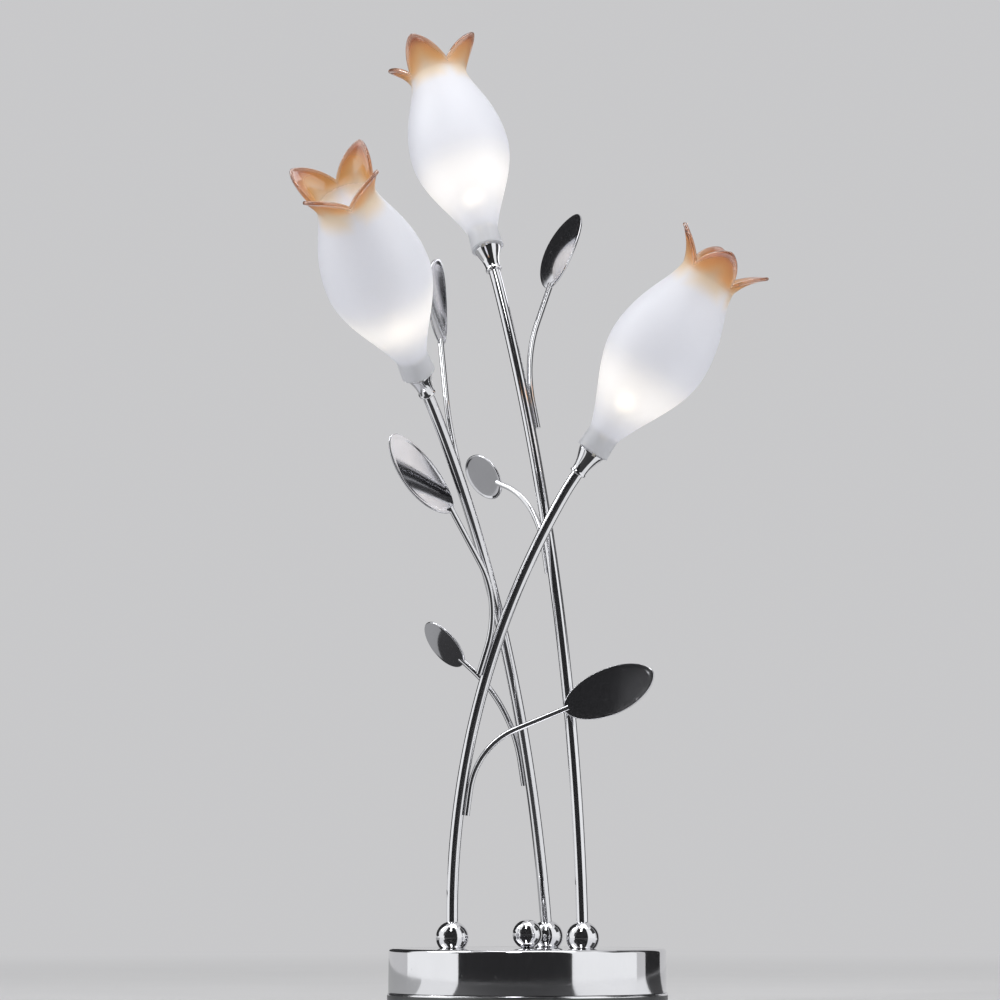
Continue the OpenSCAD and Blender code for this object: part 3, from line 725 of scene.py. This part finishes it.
print("finishes made")


stemSizes = {
    "footCircle": 39,
    "ballHeight": 35.5,
    "footRun": 12,
    "tailRun": 4,
    "crookRadius": 120,
    "cupHeight": 13.4,
    "socket": 4,  # how far the tube goes into the cup
    "tubeStart": 2.6,
    "barRadius": 3.0,
    "sides": 40,
    "spacing": 0.8,
    "step": 1,
}

stems = {  # angles in degrees, lengths in mm
    "right": {"foot": 194.5, "lean": -15, "tilt": 0, "radius": 407, "bend": 31,
              "crook": 4, "shadeTurn": 21},
    "left": {"foot": 74.5, "lean": 243, "tilt": 10.1, "radius": 490, "bend": 32.9,
             "crook": 1.8, "shadeTurn": 80},
    "top": {"foot": 314.5, "lean": 130, "tilt": 2.4, "radius": 1061, "bend": 17.8,
            "crook": 2.8, "shadeTurn": 28},
}


def arcLength(radius, angle):
    return radius * math.radians(angle)


def stemPath(stem):
    crook = stemSizes["crookRadius"]
    return [(stemSizes["footRun"], 0), (arcLength(stem["radius"], stem["bend"]), stem["bend"]),
            (arcLength(crook, stem["crook"]), stem["crook"]), (stemSizes["tailRun"], 0)]


def walk(path, distance, slope=0.0):
    # sideways, up and slope in degrees after a distance along runs of (length, turn)
    side = up = 0.0
    for length, bend in path + [(math.inf, 0)]:
        part = min(distance, length)
        if part <= 0:
            break
        bent = bend * part / length
        a, b = math.radians(slope), math.radians(slope + bent)
        if bent == 0:
            side += part * math.sin(a)
            up += part * math.cos(a)
        else:
            radius = part / math.radians(bent)
            side += radius * (math.cos(a) - math.cos(b))
            up += radius * (math.sin(b) - math.sin(a))
        slope += bent
        distance -= part
    return side, up, slope


def pathLength(path):
    return sum(length for length, bend in path)


def footPlace(stem):
    foot = math.radians(stem["foot"])
    return placeOf(stemSizes["footCircle"] * math.cos(foot),
                   stemSizes["footCircle"] * math.sin(foot), stemSizes["ballHeight"])


def onStem(stem, distance):
    side, up, slope = walk(stemPath(stem), distance, stem["tilt"])
    return (footPlace(stem) @ turn(stem["lean"], "Z") @ placeOf(side, 0, up)
            @ turn(slope, "Y"))


def onSeat(stem):
    return onStem(stem, pathLength(stemPath(stem)) + stemSizes["cupHeight"])


bar = {"Radius": 1.0, "Sides": 24, "Spacing": 1.0, "Round Start": 0.0}
leastRing = 0.08  # a rounded start's first ring, as a share of the radius


def barTree():
    # a round bar along a curve, with its start rounded if asked
    tree, given = startTree("barAlongPath", bar, takesGeometry=True)
    line = addNode(tree, "GeometryNodeResampleCurve", {
        "Curve": given["Geometry"], "Length": given["Spacing"]}, mode="LENGTH")
    along = addNode(tree, "GeometryNodeSplineParameter").outputs["Length"]
    missing = calc(tree, "SUBTRACT", 1.0, calc(tree, "DIVIDE", along, given["Radius"]),
                   clamp=True)
    square = calc(tree, "MULTIPLY", missing, missing)
    rounded = calc(tree, "SQRT", calc(tree, "SUBTRACT", 1.0, square))
    share = mixed(tree, given["Round Start"], 1.0, rounded)
    thick = addNode(tree, "GeometryNodeSetCurveRadius", {
        "Curve": line.outputs[0], "Radius": calc(tree, "MAXIMUM", share, leastRing)})
    ring = addNode(tree, "GeometryNodeCurvePrimitiveCircle", {
        "Resolution": given["Sides"], "Radius": given["Radius"]})
    swept = addNode(tree, "GeometryNodeCurveToMesh", {
        "Curve": thick.outputs[0], "Profile Curve": ring.outputs[0], "Fill Caps": True})
    endTree(tree, given, swept.outputs[0])
    return tree


barMaker = barTree()


def addBar(name, points, sizes, material, roundStart=0.0):
    line = bpy.data.curves.new(name + "Line", "CURVE")
    line.dimensions = "3D"
    spline = line.splines.new("POLY")
    spline.points.add(len(points) - 1)
    for point, place in zip(spline.points, points):
        point.co = (*place, 1)
    mesh = fromTree(name, barMaker, {
        "Radius": sizes["barRadius"] * mm, "Sides": sizes["sides"],
        "Spacing": sizes["spacing"] * mm, "Round Start": roundStart,
        "Material": material}, line)
    faceOutwards(mesh)
    return newPiece(name, mesh)


def makeStems():
    for name, stem in stems.items():
        top = pathLength(stemPath(stem)) + stemSizes["socket"]
        points = [onStem(stem, s).translation
                  for s in between(stemSizes["tubeStart"], top, stemSizes["step"])]
        tube = addBar(name + "StemTube", points, stemSizes, finish["chrome"])
        finishPiece(tube, "chrome", name + "_stem")


makeStems()
print("stems made")


rodSizes = {
    "barRadius": 1.5,
    "lap": 13,  # how far the rod lies along its stem
    "besideStem": 0.1,
    "letIn": 3,  # how far the blade's root reaches into the rod
    "sides": 26,
    "spacing": 0.35,
    "step": 0.8,
}

leaves = {  # angles in degrees, lengths in mm
    "rightUpper": {"stem": "right", "foot": 132.4, "side": 229, "radius": 52.9, "bend": 50.4,
                   "run": 35, "roll": 116, "pitch": -14, "blade": "long"},
    "rightLower": {"stem": "right", "foot": 61.6, "side": 357, "radius": 37.7, "bend": 61.2,
                   "run": 30.1, "roll": 263, "pitch": 0, "blade": "long"},
    "leftUpper": {"stem": "left", "foot": 227.4, "side": 198, "radius": 51.5, "bend": 55.7,
                  "run": 32.9, "roll": 262, "pitch": 4, "blade": "long"},
    "leftLower": {"stem": "left", "foot": 79, "side": 260, "radius": 63.4, "bend": 49.8,
                  "run": 8, "roll": 248, "pitch": 1, "blade": "round"},
    "topUpper": {"stem": "top", "foot": 262.3, "side": 258, "radius": 91.8, "bend": 29.7,
                 "run": 25.5, "roll": 18, "pitch": 1, "blade": "long"},
    "topLower": {"stem": "top", "foot": 185.8, "side": 359, "radius": 46.4, "bend": 58.5,
                 "run": 7.9, "roll": 67, "pitch": 3, "blade": "round"},
}

blades = {
    "long": {"length": 50, "width": 24, "dome": 130, "narrow": 1.12},
    "round": {"length": 29, "width": 24, "dome": 60, "narrow": 1.0},
}
bladeEdge = {
    "sheet": 0.9,
    "bead": 0.62,
    "beadSteps": 12,
    "flatShare": 0.94,  # the share of the outline that the sheet's plain rows reach
    "around": 144,
    "rings": 22,
    "sharp": 60,
}


def rodPath(leaf):
    return [(rodSizes["lap"], 0), (arcLength(leaf["radius"], leaf["bend"]), leaf["bend"]),
            (leaf["run"], 0)]


def onRod(leaf, distance):
    # the rod lies against its stem for a lap, then bends away
    lap = rodSizes["lap"]
    beside = stemSizes["barRadius"] + rodSizes["barRadius"] + rodSizes["besideStem"]
    start = (onStem(stems[leaf["stem"]], leaf["foot"] + lap / 2) @ turn(leaf["side"], "Z")
             @ placeOf(beside, 0, -lap / 2))
    side, up, slope = walk(rodPath(leaf), distance)
    return start @ placeOf(side, 0, up) @ turn(slope, "Y")


def bladeMesh(name, blade):
    # a domed sheet in an oval outline, its edge drawn to a small round bead
    half, dome = blade["length"] / 2, blade["dome"]
    centre = math.sqrt(dome * dome - half * half)
    around, rings, steps = [bladeEdge[word] for word in ("around", "rings", "beadSteps")]
    face, rim = bladeEdge["sheet"] / 2, bladeEdge["bead"]

    def outline(i):
        a = 2 * math.pi * i / around
        s = math.sin(a)
        return (-half * math.cos(a),
                blade["width"] / 2 * math.copysign(abs(s) ** blade["narrow"], s))

    def lift(z, y, side):
        # a point on the sheet's face, side mm out from its middle
        x = -math.sqrt(dome * dome - z * z - y * y)
        push = 1 + side / dome
        return Vector((centre + x * push, y * push, half + z * push)) * mm

    shares = [i / rings * bladeEdge["flatShare"] for i in range(rings)]
    bead = [(1 - (rim / half) * (1 - math.sin(a)), rim * math.cos(a))
            for a in [math.pi * i / steps for i in range(steps + 1)]]
    # share of the outline, and how far out from the sheet's middle
    section = ([(share, face) for share in shares] + bead
               + [(share, -face) for share in reversed(shares)])
    work = bmesh.new()
    loops = []
    for share, side in section:
        spots = [outline(i) for i in range(around)] if share else [(0, 0)]
        loops.append([work.verts.new(lift(z * share, y * share, side)) for z, y in spots])
    for low, high in zip(loops, loops[1:]):
        joinRings(work, low, high, around)
    bmesh.ops.recalc_face_normals(work, faces=work.faces)
    mesh = asMesh(work, name)
    smoothMesh(mesh, bladeEdge["sharp"])
    return mesh


def makeLeaves():
    for name, leaf in leaves.items():
        node = name.replace("U", "_u").replace("L", "_l")  # rightUpper -> right_upper
        reach = pathLength(rodPath(leaf))
        points = [onRod(leaf, s).translation
                  for s in between(-rodSizes["barRadius"], reach, rodSizes["step"])]
        rod = addBar(name + "Rod", points, rodSizes, finish["chrome"], roundStart=1.0)
        finishPiece(rod, "chrome", node + "_rod")
        mesh = bladeMesh(name + "Leaf", blades[leaf["blade"]])
        mesh.transform(onRod(leaf, reach - rodSizes["letIn"])
                       @ turn(leaf["roll"], "Z") @ turn(leaf["pitch"], "Y"))
        finishPiece(newPiece(name + "Leaf", mesh, finish["leaf"]), "leaf", node + "_leaf")


makeLeaves()
print("leaves made")


shade = {  # the tulip's sizes in mm, degrees and counts
    "Glass": 1.9, "Neck Foot": 8.45, "Throat": 7.95, "Neck Height": 10.0,
    "Belly": 26.0, "Belly Height": 59.0, "Mouth": 15.0, "Mouth Height": 104.5,
    "Curl Radius": 29.0, "Curl From": 16.0, "Curl To": 55.0, "Notch": 2.6,
    "Petals": 4, "Tip Round": 0.13, "Rim Slope": 0.64, "Least Bore": 6.8,
    "Around": 256, "Rows": 260,
}
shadeLines = {  # handles as shares of their own lengths, a flare in mm
    "throatHandle": 0.31, "mouthHandle": 0.47, "mouthFlare": 0.3, "points": 64,
}
shadeRows = {
    # shares of the way up outside, over the rim and down inside
    "footRound": 0.016, "rimFrom": 0.482, "rimTo": 0.518, "footAgain": 0.984,
    # shares of the rows up the glass, where the neck, the lower and the upper belly end
    "neck": 0.08, "lower": 0.46, "upper": 0.79,
}
shadeLift = 0.3  # the glass's clearance over its cup


def shadeTree():
    tree, g = startTree("tulipShade", shade)
    plus, minus, times, over, timesPlus, sine, cosine = sums(tree)
    rows, lines = shadeRows, shadeLines

    def point(x, z):
        return addNode(tree, "ShaderNodeCombineXYZ", {"X": x, "Z": z}).outputs[0]

    def bezier(start, startHandle, endHandle, end):
        return addNode(tree, "GeometryNodeCurvePrimitiveBezierSegment", {
            "Resolution": lines["points"], "Start": start, "Start Handle": startHandle,
            "End Handle": endHandle, "End": end}, mode="POSITION")

    def sample(curve, share):
        # a curve's place and direction at a share of its length
        node = addNode(tree, "GeometryNodeSampleCurve", {
            "Curves": curve.outputs[0], "Factor": share}, mode="FACTOR")
        return node.outputs["Position"], node.outputs["Tangent"]

    def pick(test, no, yes):
        return addNode(tree, "GeometryNodeSwitch", {"Switch": test, "False": no, "True": yes},
                       input_type="VECTOR").outputs[0]

    def keep(geometry, name, value):
        return addNode(tree, "GeometryNodeStoreNamedAttribute", {
            "Geometry": geometry, "Name": name, "Value": value},
            data_type="FLOAT", domain="POINT").outputs[0]

    grid = addNode(tree, "GeometryNodeMeshGrid", {
        "Size X": 1.0, "Size Y": 1.0, "Vertices X": plus(g["Around"], 1),
        "Vertices Y": g["Rows"]})
    flat = parted(tree, addNode(tree, "GeometryNodeInputPosition").outputs[0])
    wayRound = plus(flat["X"], 0.5)
    loop = plus(flat["Y"], 0.5)  # up outside, over the rim, down inside

    # the wall's section: which side of the glass, and how far up it
    foot = ramp(tree, loop, 0.0, rows["footRound"], -90, 0)
    top = ramp(tree, loop, rows["rimFrom"], rows["rimTo"], 0, 180)
    under = ramp(tree, loop, rows["footAgain"], 1.0, 0, 90)
    swing = calc(tree, "RADIANS", plus(plus(foot, top), under))
    rise = calc(tree, "MINIMUM", ramp(tree, loop, rows["footRound"], rows["rimFrom"]),
                ramp(tree, loop, rows["rimTo"], rows["footAgain"], 1.0, 0.0))

    # the petals' rule: full length in a petal's middle, down to the notch between two
    step = timesPlus(wayRound, g["Petals"], 0.5)
    off = times(calc(tree, "ABSOLUTE", minus(calc(tree, "FRACT", step), 0.5)), 2.0)
    fall = over(times(off, off), plus(off, g["Tip Round"]))
    fall = times(fall, plus(g["Tip Round"], 1.0))
    fromAngle = calc(tree, "RADIANS", g["Curl From"])
    sweep = minus(calc(tree, "RADIANS", g["Curl To"]), fromAngle)
    halfGlass = times(g["Glass"], 0.5)
    fullCurl = minus(times(sweep, g["Curl Radius"]), halfGlass)
    petal = minus(fullCurl, times(minus(fullCurl, g["Notch"]), fall))

    # the outline: neck, lower belly, upper belly, curl
    # low and high are how far a handle stands off: a third and half of the heights
    low = over(minus(g["Belly Height"], g["Neck Height"]), 3.0)
    high = over(minus(g["Mouth Height"], g["Belly Height"]), 2.0)
    throat = point(g["Throat"], g["Neck Height"])
    belly = point(g["Belly"], g["Belly Height"])
    neckLine = addNode(tree, "GeometryNodeCurvePrimitiveLine", {
        "Start": point(g["Neck Foot"], 0.0), "End": throat})
    lowerLine = bezier(
        throat,
        point(timesPlus(low, lines["throatHandle"], g["Throat"]), plus(g["Neck Height"], low)),
        point(g["Belly"], minus(g["Belly Height"], low)), belly)
    upperLine = bezier(
        belly, point(g["Belly"], plus(g["Belly Height"], high)),
        point(plus(g["Mouth"], lines["mouthFlare"]),
              timesPlus(high, -lines["mouthHandle"], g["Mouth Height"])),
        point(g["Mouth"], g["Mouth Height"]))
    neckAt, neckWay = sample(neckLine, ramp(tree, rise, 0.0, rows["neck"]))
    lowAt, lowWay = sample(lowerLine, ramp(tree, rise, rows["neck"], rows["lower"]))
    highAt, highWay = sample(upperLine, ramp(tree, rise, rows["lower"], rows["upper"]))
    out = over(times(ramp(tree, rise, rows["upper"], 1.0), petal), g["Curl Radius"])
    slope = plus(fromAngle, out)
    curlAt = point(
        timesPlus(g["Curl Radius"], minus(cosine(fromAngle), cosine(slope)), g["Mouth"]),
        timesPlus(g["Curl Radius"], minus(sine(slope), sine(fromAngle)), g["Mouth Height"]))
    curlWay = point(sine(slope), cosine(slope))
    onLow, onHigh, onCurl = [calc(tree, "GREATER_THAN", rise, rows[word])
                             for word in ("neck", "lower", "upper")]
    at = parted(tree, pick(onCurl, pick(onHigh, pick(onLow, neckAt, lowAt), highAt), curlAt))
    way = parted(tree, pick(onCurl, pick(onHigh, pick(onLow, neckWay, lowWay), highWay),
                            curlWay))

    # in from the outline through the glass, and past its end on the rims
    outward = times(halfGlass, minus(cosine(swing), 1.0))
    onward = times(halfGlass, sine(swing))
    radius = plus(timesPlus(way["Z"], outward, at["X"]), times(way["X"], onward))
    height = plus(timesPlus(way["X"], times(outward, -1.0), at["Z"]), times(way["Z"], onward))
    radius = calc(tree, "MAXIMUM", radius, g["Least Bore"])
    height = calc(tree, "MAXIMUM", height, 0.0)
    angle = times(wayRound, 2 * math.pi)
    spot = addNode(tree, "ShaderNodeCombineXYZ", {
        "X": times(radius, cosine(angle)), "Y": times(radius, sine(angle)), "Z": height})

    # what the glass's finish reads: side of the glass, height, distance from the rim
    side = timesPlus(cosine(swing), -0.5, 0.5)
    fromWaist = times(out, g["Curl Radius"])
    below = calc(tree, "MAXIMUM", minus(g["Mouth Height"], height), 0.0)
    toRim = times(plus(minus(petal, fromWaist), below), g["Rim Slope"])
    glass = grid.outputs["Mesh"]
    for name, value in (("inner", side), ("height", height), ("rim", toRim)):
        glass = keep(glass, name, value)
    shaped = addNode(tree, "GeometryNodeSetPosition", {
        "Geometry": glass, "Position": spot.outputs[0]})
    closed = addNode(tree, "GeometryNodeMergeByDistance", {
        "Geometry": shaped.outputs[0], "Distance": mergeWithin})
    endTree(tree, g, closed.outputs[0])
    return tree


def makeShades():
    tree = shadeTree()
    for name, stem in stems.items():
        mesh = fromTree(name + "TulipShade", tree, {**shade, "Material": finish["shade"]})
        faceOutwards(mesh)
        mesh.transform(onSeat(stem) @ placeOf(0, 0, shadeLift)
                       @ turn(stem["shadeTurn"], "Z") @ Matrix.Scale(mm, 4))
        piece = newPiece(name + "TulipShade", mesh)
        finishPiece(piece, "shade", name + "_shade", body=name + "_shade_glass")


makeShades()
print("shades made")


turnedSteps = {"drum": 256, "ball": 96, "ballRows": 40, "edgeRows": 12}
drum = {"radius": 70, "floor": 8, "deck": 30, "wall": 1.2, "edge": 1.8, "innerEdge": 1}
plate = {"radius": 70.6, "low": 2, "high": 8, "chamfer": 1.2, "bulge": 0.35, "lowEdge": 0.4}
balls = {  # the middle's height over the deck
    "foot": {"radius": 8.25, "lift": 5.5},
    "centre": {"radius": 7.5, "lift": 6.9},
}


def arcPoints(centre, radius, low, high, count):
    return [(centre[0] + radius * math.cos(math.radians(low + (high - low) * i / count)),
             centre[1] + radius * math.sin(math.radians(low + (high - low) * i / count)))
            for i in range(count + 1)]


def addBall(name, node, sizes, place):
    # a ball whose foot is cut flat by the deck
    radius, lift = sizes["radius"], sizes["lift"]
    low = -math.degrees(math.asin(lift / radius))
    profile = [(0, -lift)] + arcPoints((0, 0), radius, low, 90, turnedSteps["ballRows"])
    profile[-1] = (0, radius)
    ball = lathe(name, profile, turnedSteps["ball"], finish["chrome"], place)
    finishPiece(ball, "chrome", node)


def makeBalls():
    for name, stem in stems.items():
        addBall(name + "FootBall", name + "_ball", balls["foot"], footPlace(stem))
    addBall("centreBallNut", "centre_ball", balls["centre"],
            placeOf(0, 0, drum["deck"] + balls["centre"]["lift"]))


def makeBase():
    r, e, deck, floor = [drum[word] for word in ("radius", "edge", "deck", "floor")]
    inside, under, fillet = r - drum["wall"], deck - drum["wall"], drum["innerEdge"]
    profile = [(0, under), (inside - fillet, under), (inside, under - fillet),
               (inside, floor), (r, floor)]
    profile += arcPoints((r - e, deck - e), e, 0, 90, turnedSteps["edgeRows"]) + [(0, deck)]
    cover = lathe("drumCover", profile, turnedSteps["drum"], finish["chrome"])
    finishPiece(cover, "chrome", "base_cover")
    r, c, low, high = [plate[word] for word in ("radius", "chamfer", "low", "high")]
    bulge, edge = c * plate["bulge"], plate["lowEdge"]
    profile = [(0, low), (r - edge, low), (r, low + edge), (r, high - c),
               (r - bulge, high - bulge), (r - c, high), (0, high)]
    base = lathe("basePlate", profile, turnedSteps["drum"], finish["plate"])
    finishPiece(base, "plate", "base_plate")


def makeCupsAndBulbs():
    for name, stem in stems.items():
        cup = smoothCopy(name + "_cup", name + "Cup", finish["chrome"], sharp=30)
        finishPiece(cup, "chrome")
        bulb = smoothCopy(name + "_bulb", name + "Bulb", finish["capsule"])
        seat = onSeat(stem).inverted()
        height = bulb.data.attributes.new("height", "FLOAT", "POINT")
        for i, vertex in enumerate(bulb.data.vertices):
            height.data[i].value = (seat @ vertex.co).z / mm
        finishPiece(bulb, "capsule")


makeBalls()
makeBase()
makeCupsAndBulbs()
print("base and cups made")


# the CAD nodes that stay get their slot's finish
slots = {row["node"]: row["material_slot"] for row in frame["record"]["subparts"]}
for node, obj in frame["nodes"].items():
    if not obj.hide_render:
        obj.data.materials.clear()
        obj.data.materials.append(finish[slots[node]])
